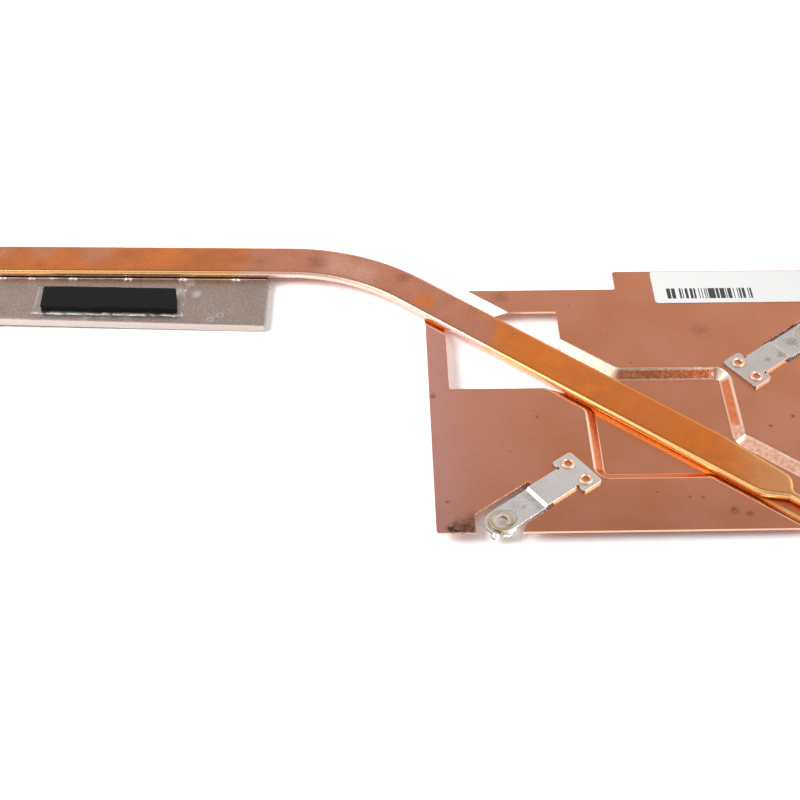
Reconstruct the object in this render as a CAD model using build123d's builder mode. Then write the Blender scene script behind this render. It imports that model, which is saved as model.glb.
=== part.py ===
from build123d import *
import os

os.makedirs("parts", exist_ok=True)

# Laptop heatsink: a stamped copper plate over the processor, a flattened heat pipe soldered
# into its channel, and a plated cooling plate under the far end of the pipe.
# Frame: origin at the middle of the processor contact face, +X to the right, +Y to the back,
# +Z up. All sizes are millimetres, all angles degrees.

# Stamped sheet
SHEET = 0.5
RECESS = 1.4
WALL_RUN = 2.1
BEND_ROUND = 0.7
FOOT_ROUND = 0.4

# Plate outline, measured from the middle of the contact face
PLATE_LEFT = 44.1
PLATE_RIGHT = 36.0
PLATE_FRONT = 26.3
PLATE_BACK = 42.5
STEP_AT = 4.7
STEP_DEPTH = 5.5
PLATE_CORNER = 0.6

# Window in the plate, under the pipe
WINDOW_STRIP = 3.9
WINDOW_BACK_STRIP = 6.5
WINDOW_WIDTH = 22.7
WINDOW_DEPTH = 21.6
WINDOW_CORNER = 0.5

# Processor pocket, at the top edge of its sloped walls
POCKET_WIDTH = 29.4
POCKET_DEPTH = 28.4
POCKET_CORNER = 3.0
JUNCTION_ROUND = 1.2

# Heat pipe: a round tube pressed flat
PIPE_WIDTH = 8.5
PIPE_THICK = 1.6
PIPE_EDGE_FLAT = 0.1
PIPE_BEND = 40.0
HOT_ANGLE = -39.3
COLD_ANGLE = 178.6
HOT_REACH = 23.0
BEND_REACH = 74.2
COLD_REACH = 83.4
SHOULDER = 4.4
SHOULDER_ROUND = 2.6
SHOULDER_SWEEP = 6.0
NECK_ROUND = 1.2
TAIL_WIDTH = 1.9
TAIL_LENGTH = 4.2
TAIL_ROUND = 0.8
HOT_TAIL_SHIFT = -0.85
COLD_TAIL_SHIFT = 0.0
HOT_BULGE = 2.5
HOT_TAPER = 1.2
HOT_TAPER_LENGTH = 15.2

# Channel in the plate that the pipe lies in
CHANNEL_GAP = 0.35
CHANNEL_SHIFT = -0.2
PIPE_SHIFT = -0.4

# Solder under the pipe
SOLDER = 0.1
SOLDER_MARGIN = 0.3
FILM_INSET = 0.5
BEAD_RADIUS = 0.65
BEAD_SIDES = 8
BEAD_TAPER = 25.0
BEAD_RISE = 0.6
BEAD_OUT = 0.55
BEAD_PLACES = (6.7, 17.7, 29.1, 40.5, 49.0, 55.2)

# Plated cooling plate under the cold end of the pipe
COOL_THICK = 1.8
COOL_START = 18.2
COOL_LENGTH = 64.8
COOL_BACK_INSET = 0.4
COOL_FRONT_RIGHT = 18.2
COOL_FRONT_LEFT = 16.3
COOL_ROUND = 0.25

# Foam strip and the clear tape that holds it
TAPE_THICK = 0.1
TAPE_LENGTH = 30.6
TAPE_DEPTH = 8.2
FOAM_THICK = 1.3
FOAM_LENGTH = 27.6
FOAM_DEPTH = 6.4
FOAM_ALONG = 32.0
FOAM_OUT = 11.5
FOAM_TURN = -1.0

# Spring clips
CLIP_THICK = 0.5
CLIP_X = 18.0
CLIP_Y = 12.85
CLIP_ANGLE = 36.7
HEAD_LENGTH = 4.5
HEAD_WIDTH = 8.7
HEAD_ROUND = 0.5
ARM_WIDTH = 5.4
RELIEF_RADIUS = 0.35
BEND_START = 9.45
BEND_RUN = 0.5
CLIP_DROP = 0.5
CLIP_BEND_ROUND = 0.15
ARM_REACH = 17.55
EYE_REACH = 18.0
EYE_HOLE = 2.2

# Notches that let the clip arms flex
NOTCH_LEAD = 1.25
EDGE_PASS = 1.0
FRONT_NOTCH_BACK_GAP = 1.3
FRONT_NOTCH_FRONT_GAP = 0.6
FRONT_NOTCH_FLARE = 15.0
FRONT_NOTCH_LEFT = 37.2
FRONT_NOTCH_RIGHT = 28.9
REAR_NOTCH_GAP = 0.7

# Tubular copper rivets
RIVET_PITCH = 4.75
RIVET_SHANK = 1.7
RIVET_CLEARANCE = 0.05
RIVET_HEAD = 2.7
RIVET_HEAD_RISE = 0.35
RIVET_FOOT = 2.4
RIVET_FOOT_RISE = 0.2
RIVET_DIMPLE = 1.1
RIVET_DIMPLE_DEPTH = 0.5

# Keeper rings under the clip eyes
KEEPER_THICK = 0.5
KEEPER_INNER = 2.7
KEEPER_OUTER = 6.0
KEEPER_GAP = 0.4
KEEPER_TURN = 52.0
LUG_ANGLE = 23.0
LUG_WIDTH = 0.9
LUG_REACH = 3.25
BALL = 1.6
BALL_REACH = 2.95
BALL_DROP = 0.3

# Part label
LABEL_THICK = 0.1
LABEL_LENGTH = 31.2
LABEL_DEPTH = 9.6
LABEL_LEFT = 3.1
LABEL_BACK_MARGIN = 0.2

# Heights
plate_top = RECESS + SHEET
pipe_under = SHEET + SOLDER
cool_under = SHEET - COOL_THICK

# Shared planes: the hot stretch of the pipe, its cold stretch and the two clips
pipe_line = CHANNEL_SHIFT + PIPE_SHIFT
hot = Plane((0, 0, 0), x_dir=Vector(1, 0, 0).rotate(Axis.Z, HOT_ANGLE), z_dir=(0, 0, 1))
bend_point = hot.from_local_coords((-BEND_REACH, pipe_line, 0))
cold = Plane(bend_point, x_dir=Vector(1, 0, 0).rotate(Axis.Z, COLD_ANGLE), z_dir=(0, 0, 1))
clip_axis = Vector(1, 0, 0).rotate(Axis.Z, CLIP_ANGLE)
clip_planes = {
    "front": Plane((-CLIP_X, -CLIP_Y, 0), x_dir=-clip_axis, z_dir=(0, 0, 1)),
    "rear": Plane((CLIP_X, CLIP_Y, 0), x_dir=clip_axis, z_dir=(0, 0, 1)),
}

# Plan places that several pieces share
window_left = -PLATE_LEFT + WINDOW_STRIP
window_back = PLATE_BACK - STEP_DEPTH - WINDOW_BACK_STRIP
window_centre = (window_left + WINDOW_WIDTH / 2, window_back - WINDOW_DEPTH / 2)
notch_start = BEND_START - NOTCH_LEAD
arm_half = ARM_WIDTH / 2
rivet_offsets = {"inner": RIVET_PITCH / 2, "outer": -RIVET_PITCH / 2}
shank_radius = RIVET_SHANK / 2
rivet_hole = shank_radius + RIVET_CLEARANCE
rivet_places = {
    f"{side}_rivet_{place}": plane.from_local_coords((0, across, 0))
    for side, plane in clip_planes.items()
    for place, across in rivet_offsets.items()
}
channel_width = PIPE_WIDTH + 2 * (CHANNEL_GAP + WALL_RUN)
channel_reach = PLATE_LEFT + PLATE_RIGHT + PLATE_BACK
sheet_span = 2 * (channel_reach + channel_width)
pipe_round = PIPE_THICK / 2 - PIPE_EDGE_FLAT / 2
film_width = PIPE_WIDTH - 2 * pipe_round - 2 * SOLDER_MARGIN


def channel_x(y, side):
    """X where one top edge of the channel crosses a line of constant y."""
    return (side - hot.y_dir.Y * y) / hot.y_dir.X


def channel_y(x, side):
    """Y where one top edge of the channel crosses a line of constant x."""
    return (side - hot.y_dir.X * x) / hot.y_dir.Y


# Recess outline: the processor pocket crossed by the channel of the pipe
pocket_x = POCKET_WIDTH / 2
pocket_y = POCKET_DEPTH / 2
far_side = CHANNEL_SHIFT + channel_width / 2
near_side = CHANNEL_SHIFT - channel_width / 2
recess_corners = (
    (hot.from_local_coords((-channel_reach, far_side, 0)), POCKET_CORNER),
    (Vector(channel_x(pocket_y, far_side), pocket_y), JUNCTION_ROUND),
    (Vector(pocket_x, pocket_y), POCKET_CORNER),
    (Vector(pocket_x, channel_y(pocket_x, far_side)), JUNCTION_ROUND),
    (hot.from_local_coords((channel_reach, far_side, 0)), POCKET_CORNER),
    (hot.from_local_coords((channel_reach, near_side, 0)), POCKET_CORNER),
    (Vector(channel_x(-pocket_y, near_side), -pocket_y), JUNCTION_ROUND),
    (Vector(-pocket_x, -pocket_y), POCKET_CORNER),
    (Vector(-pocket_x, channel_y(-pocket_x, near_side)), JUNCTION_ROUND),
    (hot.from_local_coords((-channel_reach, near_side, 0)), POCKET_CORNER),
)
with BuildSketch() as recess_outline:
    with BuildLine():
        FilletPolyline(
            *[point for point, _ in recess_corners], radius=[size for _, size in recess_corners], close=True
        )
    make_face()

with BuildSketch() as recess_floor:
    add(recess_outline.sketch)
    offset(amount=-WALL_RUN, kind=Kind.INTERSECTION, mode=Mode.REPLACE)

# Notches in plan, from just before each clip's joggle out past the plate's edge
front_plan = clip_planes["front"]
front_back = front_plan.from_local_coords((notch_start, -arm_half - FRONT_NOTCH_BACK_GAP, 0))
front_turn = front_back + front_plan.x_dir * ((front_back.X + FRONT_NOTCH_LEFT) / clip_axis.X)
past_front = -PLATE_FRONT - EDGE_PASS
front_notch = (
    front_back,
    front_turn,
    (-FRONT_NOTCH_LEFT, past_front),
    (-FRONT_NOTCH_RIGHT, past_front),
    (-FRONT_NOTCH_RIGHT, -PLATE_FRONT),
    front_plan.from_local_coords((FRONT_NOTCH_FLARE, arm_half + FRONT_NOTCH_FRONT_GAP, 0)),
    front_plan.from_local_coords((notch_start, arm_half + FRONT_NOTCH_FRONT_GAP, 0)),
)
rear_half = arm_half + REAR_NOTCH_GAP
rear_corners = (
    (notch_start, -rear_half),
    (PLATE_RIGHT, -rear_half),
    (PLATE_RIGHT, rear_half),
    (notch_start, rear_half),
)
rear_notch = [clip_planes["rear"].from_local_coords((along, across, 0)) for along, across in rear_corners]

# Stamped copper base plate
with BuildPart() as base_plate:
    with BuildSketch(Plane.XY.offset(RECESS)):
        Rectangle(sheet_span, sheet_span)
    extrude(amount=SHEET)
    for drop, mode in ((SHEET, Mode.ADD), (0, Mode.SUBTRACT)):
        with BuildSketch(Plane.XY.offset(plate_top - drop)):
            add(recess_outline.sketch)
        with BuildSketch(Plane.XY.offset(SHEET - drop)):
            add(recess_floor.sketch)
        loft(ruled=True, mode=mode)
    levels = base_plate.faces().filter_by(Axis.Z).sort_by(Axis.Z)
    fillet(levels[0].outer_wire().edges() + levels[3].inner_wires()[0].edges(), radius=BEND_ROUND)
    levels = base_plate.faces().filter_by(Axis.Z).sort_by(Axis.Z)
    fillet(levels[1].outer_wire().edges() + levels[2].inner_wires()[0].edges(), radius=FOOT_ROUND)
    with BuildSketch() as blank:
        with BuildLine():
            Polyline(
                (-PLATE_LEFT, -PLATE_FRONT),
                (PLATE_RIGHT, -PLATE_FRONT),
                (PLATE_RIGHT, PLATE_BACK),
                (-STEP_AT, PLATE_BACK),
                (-STEP_AT, PLATE_BACK - STEP_DEPTH),
                (-PLATE_LEFT, PLATE_BACK - STEP_DEPTH),
                close=True,
            )
        make_face()
        fillet(blank.vertices(), radius=PLATE_CORNER)
        with Locations(window_centre):
            RectangleRounded(WINDOW_WIDTH, WINDOW_DEPTH, WINDOW_CORNER, mode=Mode.SUBTRACT)
        with BuildLine():
            Polyline(*front_notch, close=True)
        make_face(mode=Mode.SUBTRACT)
        with BuildLine():
            Polyline(*rear_notch, close=True)
        make_face(mode=Mode.SUBTRACT)
    extrude(amount=plate_top, mode=Mode.INTERSECT)
    with Locations(*rivet_places.values()):
        Hole(radius=rivet_hole)
base_plate.part.label = "base_plate"
export_step(base_plate.part, "parts/base_plate.step")

# Heat pipe: sealed, with a swaged tail at each end
pipe_half = PIPE_WIDTH / 2
tail_half = TAIL_WIDTH / 2


def pipe_end(plane, reach, line, shift, taper, bulge):
    """Corners of one end of the pipe, from its left side round the tail, each with its rounding.

    The left side leans in by the taper, and its shoulder comes later by the bulge.
    """
    neck = reach + SHOULDER
    tip = neck + TAIL_LENGTH
    corners = (
        (reach + bulge, line + pipe_half - taper, SHOULDER_ROUND),
        (neck, line + shift + tail_half, NECK_ROUND),
        (tip, line + shift + tail_half, TAIL_ROUND),
        (tip, line + shift - tail_half, TAIL_ROUND),
        (neck, line + shift - tail_half, NECK_ROUND),
        (reach, line - pipe_half, SHOULDER_SWEEP),
    )
    return [(plane.from_local_coords((along, across, 0)), size) for along, across, size in corners]


bend_side = (hot.y_dir - cold.y_dir) * (pipe_half / (1 - hot.y_dir.dot(cold.y_dir)))
taper_along = HOT_REACH + HOT_BULGE - HOT_TAPER_LENGTH
taper_start = hot.from_local_coords((taper_along, pipe_line + pipe_half, 0))
pipe_corners = (
    [(taper_start, PIPE_BEND)]
    + pipe_end(hot, HOT_REACH, pipe_line, HOT_TAIL_SHIFT, HOT_TAPER, HOT_BULGE)
    + [(bend_point - bend_side, PIPE_BEND - pipe_half)]
    + pipe_end(cold, COLD_REACH, 0, COLD_TAIL_SHIFT, 0, 0)
    + [(bend_point + bend_side, PIPE_BEND + pipe_half)]
)
with BuildPart() as heat_pipe:
    with BuildSketch(Plane.XY.offset(pipe_under)):
        with BuildLine():
            FilletPolyline(
                *[point for point, _ in pipe_corners], radius=[size for _, size in pipe_corners], close=True
            )
        make_face()
    extrude(amount=PIPE_THICK)
    rims = heat_pipe.edges().group_by(Axis.Z)
    fillet(rims[0] + rims[-1], radius=pipe_round)
heat_pipe.part.label = "heat_pipe"
export_step(heat_pipe.part, "parts/heat_pipe.step")

# Solder films that hold the pipe in the channel, on both sides of the window
film_start = hot.to_local_coords(Vector(window_left + WINDOW_WIDTH, window_back - WINDOW_DEPTH)).X
with BuildPart() as pocket_solder:
    with BuildSketch(hot.offset(SHEET)):
        with Locations((film_start + FILM_INSET, pipe_line)):
            film_length = HOT_REACH - film_start - 2 * FILM_INSET
            Rectangle(film_length, film_width - 2 * HOT_TAPER, align=(Align.MIN, Align.CENTER))
    extrude(amount=SOLDER)
pocket_solder.part.label = "pocket_solder"
export_step(pocket_solder.part, "parts/pocket_solder.step")

with BuildPart() as corner_solder:
    with BuildSketch(hot.offset(SHEET)):
        with Locations((-BEND_REACH, pipe_line)):
            Rectangle(BEND_REACH, film_width, align=(Align.MIN, Align.CENTER))
    extrude(amount=SOLDER)
    with BuildSketch(Plane.XY.offset(SHEET)):
        with Locations((-PLATE_LEFT + FILM_INSET, PLATE_BACK - STEP_DEPTH - FILM_INSET)):
            corner_width = WINDOW_STRIP + WINDOW_WIDTH
            corner_depth = WINDOW_BACK_STRIP + WINDOW_DEPTH
            Rectangle(corner_width, corner_depth, align=(Align.MIN, Align.MAX))
        with Locations(window_centre):
            Rectangle(WINDOW_WIDTH + 2 * FILM_INSET, WINDOW_DEPTH + 2 * FILM_INSET, mode=Mode.SUBTRACT)
    extrude(amount=SOLDER, mode=Mode.INTERSECT)
corner_solder.part.label = "corner_solder"
export_step(corner_solder.part, "parts/corner_solder.step")

# Cooling plate, soldered under the cold stretch of the pipe
cool_end = COOL_START + COOL_LENGTH
cool_back = pipe_half - COOL_BACK_INSET
with BuildPart() as cooling_plate:
    with BuildSketch(cold.offset(cool_under)):
        with BuildLine():
            Polyline(
                (COOL_START, -cool_back),
                (cool_end, -cool_back),
                (cool_end, COOL_FRONT_LEFT),
                (COOL_START, COOL_FRONT_RIGHT),
                close=True,
            )
        make_face()
    extrude(amount=COOL_THICK)
    fillet(cooling_plate.edges().group_by(Axis.Z)[-1], radius=COOL_ROUND)
cooling_plate.part.label = "cooling_plate"
export_step(cooling_plate.part, "parts/cooling_plate.step")

# Solder film and the row of beads along the front foot of the pipe
bead_places = [(COOL_START + place, pipe_half + BEAD_OUT) for place in BEAD_PLACES]
with BuildPart() as cooling_solder:
    with BuildSketch(cold.offset(SHEET)):
        with Locations((COOL_START + FILM_INSET, 0)):
            Rectangle(COOL_LENGTH - 2 * FILM_INSET, film_width, align=(Align.MIN, Align.CENTER))
    extrude(amount=SOLDER)
    with BuildSketch(cold.offset(SHEET)):
        with Locations(*bead_places):
            RegularPolygon(BEAD_RADIUS, BEAD_SIDES)
    extrude(amount=BEAD_RISE, taper=BEAD_TAPER)
cooling_solder.part.label = "cooling_solder"
export_step(cooling_solder.part, "parts/cooling_solder.step")

# Foam strip on its clear tape
foam_place = Location((COOL_START + FOAM_ALONG, FOAM_OUT, 0), (0, 0, FOAM_TURN))
with BuildPart() as foam_tape:
    with BuildSketch(cold.offset(SHEET)):
        with Locations(foam_place):
            Rectangle(TAPE_LENGTH, TAPE_DEPTH)
    extrude(amount=TAPE_THICK)
foam_tape.part.label = "foam_tape"
export_step(foam_tape.part, "parts/foam_tape.step")

with BuildPart() as foam_strip:
    with BuildSketch(cold.offset(SHEET + TAPE_THICK)):
        with Locations(foam_place):
            Rectangle(FOAM_LENGTH, FOAM_DEPTH)
    extrude(amount=FOAM_THICK)
foam_strip.part.label = "foam_strip"
export_step(foam_strip.part, "parts/foam_strip.step")

# Part label, blank, along the back edge of the plate
with BuildPart() as part_label:
    with BuildSketch(Plane.XY.offset(plate_top)):
        with Locations((LABEL_LEFT, PLATE_BACK - LABEL_BACK_MARGIN)):
            Rectangle(LABEL_LENGTH, LABEL_DEPTH, align=(Align.MIN, Align.MAX))
    extrude(amount=LABEL_THICK)
part_label.part.label = "label"
export_step(part_label.part, "parts/label.step")

# Spring clips: a riveted head, an arm with a joggle down and an eye for the screw
head_back = -HEAD_LENGTH / 2
head_front = HEAD_LENGTH / 2
bend_end = BEND_START + BEND_RUN
arm_end = ARM_REACH + arm_half
for side, plane in clip_planes.items():
    seat = plane.offset(plate_top)
    with BuildPart() as clip:
        with BuildSketch(Plane(seat.origin, x_dir=plane.x_dir, z_dir=-plane.y_dir)) as profile:
            with BuildLine():
                Polyline(
                    (head_back, 0),
                    (BEND_START, 0),
                    (bend_end, -CLIP_DROP),
                    (arm_end, -CLIP_DROP),
                    (arm_end, CLIP_THICK - CLIP_DROP),
                    (bend_end, CLIP_THICK - CLIP_DROP),
                    (BEND_START, CLIP_THICK),
                    (head_back, CLIP_THICK),
                    close=True,
                )
            make_face()
            bends = profile.vertices().filter_by_position(Axis.X, BEND_START, bend_end)
            fillet(bends, radius=CLIP_BEND_ROUND)
        extrude(amount=HEAD_WIDTH, both=True)
        with BuildSketch(seat):
            RectangleRounded(HEAD_LENGTH, HEAD_WIDTH, HEAD_ROUND)
            Rectangle(ARM_REACH, ARM_WIDTH, align=(Align.MIN, Align.CENTER))
            with Locations((ARM_REACH, 0)):
                Circle(arm_half)
            with Locations((EYE_REACH, 0)):
                Circle(EYE_HOLE / 2, mode=Mode.SUBTRACT)
            with Locations((head_front, arm_half), (head_front, -arm_half)):
                Circle(RELIEF_RADIUS, mode=Mode.SUBTRACT)
            with Locations(*[(0, across) for across in rivet_offsets.values()]):
                Circle(rivet_hole, mode=Mode.SUBTRACT)
        extrude(amount=plate_top, both=True, mode=Mode.INTERSECT)
    clip.part.label = f"{side}_clip"
    export_step(clip.part, f"parts/{side}_clip.step")

# Tubular rivets: a ring head with a dimple, a shank and a foot under the plate
head_top = CLIP_THICK + RIVET_HEAD_RISE
foot_under = -SHEET - RIVET_FOOT_RISE
for name, place in rivet_places.items():
    seat = Plane((place.X, place.Y, plate_top), x_dir=(1, 0, 0), z_dir=(0, -1, 0))
    with BuildPart() as rivet:
        with BuildSketch(seat):
            with BuildLine():
                Polyline(
                    (0, foot_under),
                    (RIVET_FOOT / 2, foot_under),
                    (RIVET_FOOT / 2, -SHEET),
                    (shank_radius, -SHEET),
                    (shank_radius, CLIP_THICK),
                    (RIVET_HEAD / 2, CLIP_THICK),
                    (RIVET_HEAD / 2, head_top),
                    (RIVET_DIMPLE / 2, head_top),
                    (RIVET_DIMPLE / 2, head_top - RIVET_DIMPLE_DEPTH),
                    (0, head_top - RIVET_DIMPLE_DEPTH),
                    close=True,
                )
            make_face()
        revolve(axis=Axis(seat.origin, (0, 0, 1)))
    rivet.part.label = name
    export_step(rivet.part, f"parts/{name}.step")

# Keeper rings: open rings under the clip eyes, with a ball lug and a bar lug
keeper_under = plate_top - CLIP_DROP - KEEPER_THICK
for side, plane in clip_planes.items():
    eye = Plane(
        plane.from_local_coords((EYE_REACH, 0, keeper_under)),
        x_dir=plane.x_dir.rotate(Axis.Z, KEEPER_TURN),
        z_dir=(0, 0, 1),
    )
    with BuildPart() as keeper:
        with BuildSketch(eye):
            Circle(KEEPER_OUTER / 2)
            for angle, reach in ((LUG_ANGLE, LUG_REACH), (-LUG_ANGLE, BALL_REACH)):
                with Locations(Location((0, 0, 0), (0, 0, angle))):
                    Rectangle(reach, LUG_WIDTH, align=(Align.MIN, Align.CENTER))
            Circle(KEEPER_INNER / 2, mode=Mode.SUBTRACT)
            Rectangle(KEEPER_OUTER, KEEPER_GAP, align=(Align.MIN, Align.CENTER), mode=Mode.SUBTRACT)
        extrude(amount=KEEPER_THICK)
        ball_across = Vector(BALL_REACH, 0, KEEPER_THICK / 2 - BALL_DROP).rotate(Axis.Z, -LUG_ANGLE)
        with Locations(Plane(eye.from_local_coords(ball_across), x_dir=eye.x_dir, z_dir=eye.z_dir)):
            Sphere(BALL / 2)
    keeper.part.label = f"{side}_keeper"
    export_step(keeper.part, f"parts/{side}_keeper.step")
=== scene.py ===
# %% [markdown]
# A laptop heatsink: a stamped copper plate, a flattened heat pipe, a plated cooling plate and two
# spring clips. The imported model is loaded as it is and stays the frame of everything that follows.
# Its metal pieces keep their shapes and get finishes; the soft and the small pieces are modelled here.

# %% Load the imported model
import math
import bmesh
import bpy
from mathutils import Matrix, Vector, noise


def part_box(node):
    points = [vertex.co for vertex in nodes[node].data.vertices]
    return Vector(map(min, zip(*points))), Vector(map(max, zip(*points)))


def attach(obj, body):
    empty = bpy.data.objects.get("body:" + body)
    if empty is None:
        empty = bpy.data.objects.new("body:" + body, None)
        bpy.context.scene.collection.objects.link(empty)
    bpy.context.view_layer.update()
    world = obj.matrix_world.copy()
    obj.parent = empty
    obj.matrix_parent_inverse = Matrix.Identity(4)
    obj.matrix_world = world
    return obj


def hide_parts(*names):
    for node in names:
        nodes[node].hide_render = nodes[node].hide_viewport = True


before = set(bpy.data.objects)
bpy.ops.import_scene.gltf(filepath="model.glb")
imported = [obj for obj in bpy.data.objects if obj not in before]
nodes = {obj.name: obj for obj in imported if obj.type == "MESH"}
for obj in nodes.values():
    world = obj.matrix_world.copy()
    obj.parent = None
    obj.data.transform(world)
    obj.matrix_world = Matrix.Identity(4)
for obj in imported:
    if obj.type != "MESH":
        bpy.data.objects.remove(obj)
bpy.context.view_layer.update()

MM = 0.001

# %% [markdown]
# The camera looks down on the part at about 46 degrees, a little from the left, and cuts off both of
# its ends. Its place was found by laying the model's edges over the picture. It could be set by hand in
# the viewport, but a point to aim at, three angles and a distance keep the view easy to change.

# %% Camera
AIM = Vector((-49.71, 6.15, 1.9)) * MM
LOOK_DOWN = math.radians(46.09)
LOOK_ACROSS = math.radians(1.967)
LEAN = math.radians(0.764)
DISTANCE = 279.5 * MM
SENSOR_WIDTH = 36
LENS = 66.03

forward = Vector((
    math.sin(LOOK_ACROSS) * math.cos(LOOK_DOWN),
    math.cos(LOOK_ACROSS) * math.cos(LOOK_DOWN),
    -math.sin(LOOK_DOWN),
))
level = Vector((math.cos(LOOK_ACROSS), -math.sin(LOOK_ACROSS), 0))
upward = level.cross(forward)
picture_right = math.cos(LEAN) * level + math.sin(LEAN) * upward
picture_up = math.cos(LEAN) * upward - math.sin(LEAN) * level
turn = Matrix((picture_right, picture_up, -forward)).transposed().to_4x4()

bpy.ops.object.camera_add()
camera = bpy.context.object
camera.name = "camera"
camera.data.sensor_width = SENSOR_WIDTH
camera.data.lens = LENS
camera.matrix_world = Matrix.Translation(AIM - forward * DISTANCE) @ turn
bpy.context.scene.camera = camera
print("camera at", [round(v, 4) for v in camera.location])

# %% [markdown]
# Every finish below is a small tree of shader nodes. Placing nodes one by one takes many lines, so
# a few helpers come first: one adds a node and fills its sockets, the others stand for the nodes
# that are used most, such as one step of arithmetic, a noise or a soft threshold.

# %% Helpers for single nodes
def add(tree, kind, values=None, **options):
    """Adds one node; a value in values is either a socket to link or a plain setting."""
    node = tree.nodes.new(kind)
    for option, value in options.items():
        setattr(node, option, value)
    for socket, value in (values or {}).items():
        if isinstance(value, bpy.types.NodeSocket):
            tree.links.new(value, node.inputs[socket])
        else:
            node.inputs[socket].default_value = value
    return node


def number(tree, operation, first, second=0.0):
    """One step of arithmetic on numbers."""
    return add(tree, "ShaderNodeMath", {0: first, 1: second}, operation=operation).outputs[0]


def between(tree, amount, first, second):
    """Mixes two numbers: the first where amount is 0, the second where it is 1."""
    return add(tree, "ShaderNodeMix", {0: amount, 2: first, 3: second}).outputs[0]


def fade(tree, value, start, end, low=0.0, high=1.0):
    """Goes smoothly from low to high while value goes from start to end."""
    values = {"Value": value, "From Min": start, "From Max": end, "To Min": low, "To Max": high}
    return add(tree, "ShaderNodeMapRange", values, interpolation_type="SMOOTHSTEP").outputs["Result"]


def falling(tree, value, start, end):
    """Goes smoothly from 1 to 0 while value goes from start to end."""
    return fade(tree, value, start, end, 1.0, 0.0)


def ranged(tree, mask, limits):
    """Goes from the first limit to the second while a mask goes from 0 to 1."""
    return fade(tree, mask, 0.0, 1.0, *limits)


def inside(tree, value, limits, soft):
    """1 between two limits and 0 outside them, with soft borders."""
    after = fade(tree, value, limits[0] - soft, limits[0] + soft)
    before = falling(tree, value, limits[1] - soft, limits[1] + soft)
    return number(tree, "MULTIPLY", after, before)


def blend(tree, amount, first, second, share=1.0):
    """Mixes two colours: the first where amount is 0, a share of the second where it is 1."""
    amount = number(tree, "MULTIPLY", amount, share)
    return add(tree, "ShaderNodeMix", {0: amount, 6: first, 7: second}, data_type="RGBA").outputs[2]


def clouds(tree, place, scale, detail=2.0):
    """Soft noise between 0 and 1, with features about one over scale in size."""
    return add(tree, "ShaderNodeTexNoise", {"Vector": place, "Scale": scale, "Detail": detail}).outputs["Fac"]


print("node helpers ready")

# %% Helpers for places on the surface
def place_in_mm(tree):
    """The point on the surface, in the part's own frame, in millimetres."""
    point = add(tree, "ShaderNodeTexCoord").outputs["Object"]
    return add(tree, "ShaderNodeVectorMath", {0: point, "Scale": 1 / MM}, operation="SCALE").outputs[0]


def axis(tree, vector, letter):
    """One coordinate of a point."""
    return add(tree, "ShaderNodeSeparateXYZ", {"Vector": vector}).outputs[letter]


def stretch(tree, place, factors):
    """A point with each of its coordinates scaled by a factor of its own."""
    return add(tree, "ShaderNodeVectorMath", {0: place, 1: factors}, operation="MULTIPLY").outputs[0]


def turn_level(tree, place, angle):
    """A point turned round the upright axis."""
    values = {"Vector": place, "Angle": angle}
    return add(tree, "ShaderNodeVectorRotate", values, rotation_type="Z_AXIS").outputs[0]


print("place helpers ready")

# %% [markdown]
# A finish is a material with one Principled shader. Its colour is built up in coats, like paint: each
# coat has a mask, a tint and the share of it that covers. A cut edge is never quite sharp, so a
# bevel node bends the light there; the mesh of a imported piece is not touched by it.

# %% Helpers for finishes
RELIEF_DEPTH = 0.05


def new_group(name, inputs, outputs):
    """Starts a node group; returns its tree, its inputs and its outputs."""
    group = bpy.data.node_groups.new(name, "ShaderNodeTree")
    for label, kind, value in inputs:
        socket = group.interface.new_socket(label, in_out="INPUT", socket_type=kind)
        socket.default_value = value
    for label in outputs:
        group.interface.new_socket(label, in_out="OUTPUT", socket_type="NodeSocketFloat")
    return group, add(group, "NodeGroupInput").outputs, add(group, "NodeGroupOutput")


def give_out(group, result, values):
    """Links values to the outputs of a node group."""
    for label, value in values.items():
        group.links.new(value, result.inputs[label])


def effect(tree, group, values):
    """Places a node group in a material with its own values; returns its outputs."""
    return add(tree, "ShaderNodeGroup", values, node_tree=group).outputs


def new_finish(name, metallic):
    """Starts a material; returns it, its tree and its Principled shader."""
    finish = bpy.data.materials.new(name)
    finish.use_nodes = True
    shader = finish.node_tree.nodes["Principled BSDF"]
    shader.inputs["Metallic"].default_value = metallic
    return finish, finish.node_tree, shader


def lay_coats(tree, colour, coats):
    """Lays coats (mask, tint, share) over a colour, one after another."""
    for mask, tint, share in coats:
        colour = blend(tree, mask, colour, tint, share)
    return colour


def paint(tree, shader, colour, roughness):
    """Gives the shader a colour and a roughness that change over the surface."""
    tree.links.new(colour, shader.inputs["Base Color"])
    tree.links.new(roughness, shader.inputs["Roughness"])


def bumps(tree, shader, height, strength, depth, facing=None):
    """Gives a finish a fine relief, as deep as depth in millimetres."""
    values = {"Height": height, "Strength": strength, "Distance": depth * MM}
    if facing is not None:
        values["Normal"] = facing
    tree.links.new(add(tree, "ShaderNodeBump", values).outputs["Normal"], shader.inputs["Normal"])


def relief(tree, shader, height, strength, edge, samples=6):
    """Gives a finish a fine relief and, in its shading only, slightly rounded edges."""
    soft = add(tree, "ShaderNodeBevel", {"Radius": edge * MM}, samples=samples).outputs["Normal"]
    bumps(tree, shader, height, strength, RELIEF_DEPTH, soft)


def dress(finish, *names):
    """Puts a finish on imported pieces."""
    for name in names:
        nodes[name].material_slots[0].material = finish
    print(finish.name, "on", ", ".join(names))


print("finish helpers ready")

# %% [markdown]
# The part was lit by a large soft box at its left and a smaller one at its right, in a pale room.
# Copper is a mirror at heart, so what stands round it decides how it looks. The room is made with some
# care for that: white walls, a greyer ceiling, a dimmer patch where the camera stands and three bright
# ones. A picture of a studio would do the same, but no files are loaded.

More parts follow.
